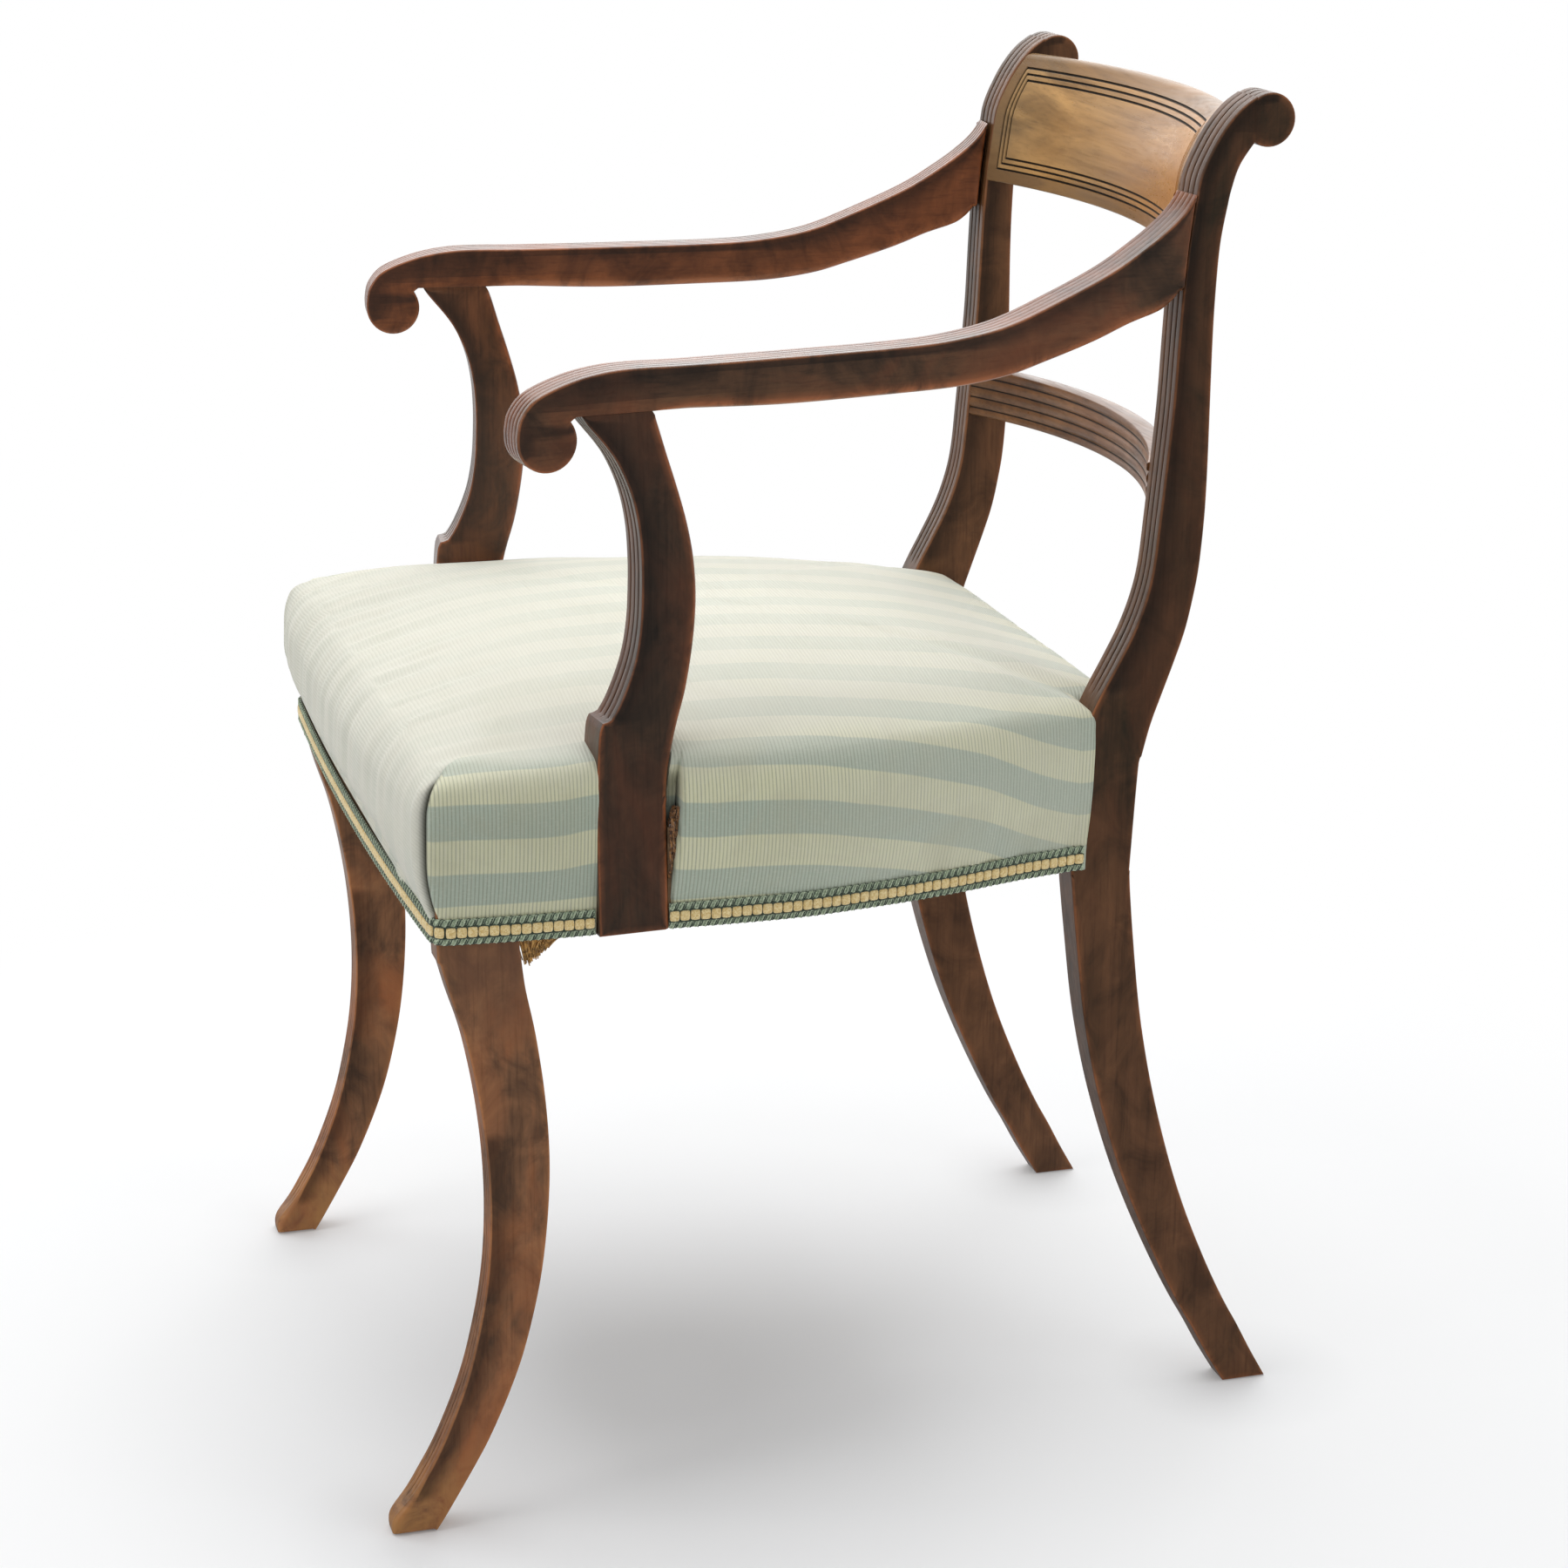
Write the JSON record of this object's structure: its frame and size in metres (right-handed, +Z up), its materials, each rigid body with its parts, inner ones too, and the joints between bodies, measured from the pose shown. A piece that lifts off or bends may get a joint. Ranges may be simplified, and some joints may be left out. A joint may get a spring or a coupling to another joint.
{
  "type": "carver chair",
  "caption": "Elbow dining chair with sabre legs, scrolled arms on curved supports, bowed crest and mid rails, and a stuffed seat edged with braid.",
  "frame": {"origin": "on the floor, on the centre line, midway between the front of the toes and the back of the heels", "axes": "+X to the sitter's left, +Y to the back of the chair, +Z up"},
  "size_m": [0.4998, 0.6004, 0.846],
  "materials": {
    "post_mahogany": "worn wax polish, dark brown",
    "leg_mahogany": "worn wax polish, warm brown",
    "arm_mahogany": "worn wax polish, brown",
    "crest_mahogany": "wax polish, golden brown",
    "frame_beech": "unpolished",
    "dowel_beech": "unpolished",
    "screw_steel": "plain",
    "webbing_jute": "coarse woven",
    "stuffing_hair": "loose fibre",
    "seat_fabric": "ribbed, striped in cream and blue-green",
    "seat_braid": "woven, gold and pale green"
  },
  "bodies": {
    "root": {"left_back_post": "post_mahogany", "right_back_post": "post_mahogany", "left_front_leg": "leg_mahogany", "right_front_leg": "leg_mahogany", "front_seat_rail": "frame_beech", "back_seat_rail": "frame_beech", "left_seat_rail": "frame_beech", "right_seat_rail": "frame_beech", "left_front_block": "frame_beech", "right_front_block": "frame_beech", "left_back_block": "frame_beech", "right_back_block": "frame_beech", "corner_block_screws": "screw_steel", "left_arm_support": "arm_mahogany", "right_arm_support": "arm_mahogany", "arm_support_screws": "screw_steel", "left_arm": "arm_mahogany", "right_arm": "arm_mahogany", "arm_dowels": "dowel_beech", "crest_rail": "crest_mahogany", "crest_dowels": "dowel_beech", "mid_rail": "crest_mahogany", "webbing_lengthwise": "webbing_jute", "webbing_crosswise": "webbing_jute", "hessian": "webbing_jute", "stuffing": "stuffing_hair", "seat_cover": "seat_fabric", "braid_front": "seat_braid", "left_side_braid": "seat_braid", "right_side_braid": "seat_braid", "back_braid": "seat_braid", "hanging_tuft": "webbing_jute"}
  },
  "joints": []
}
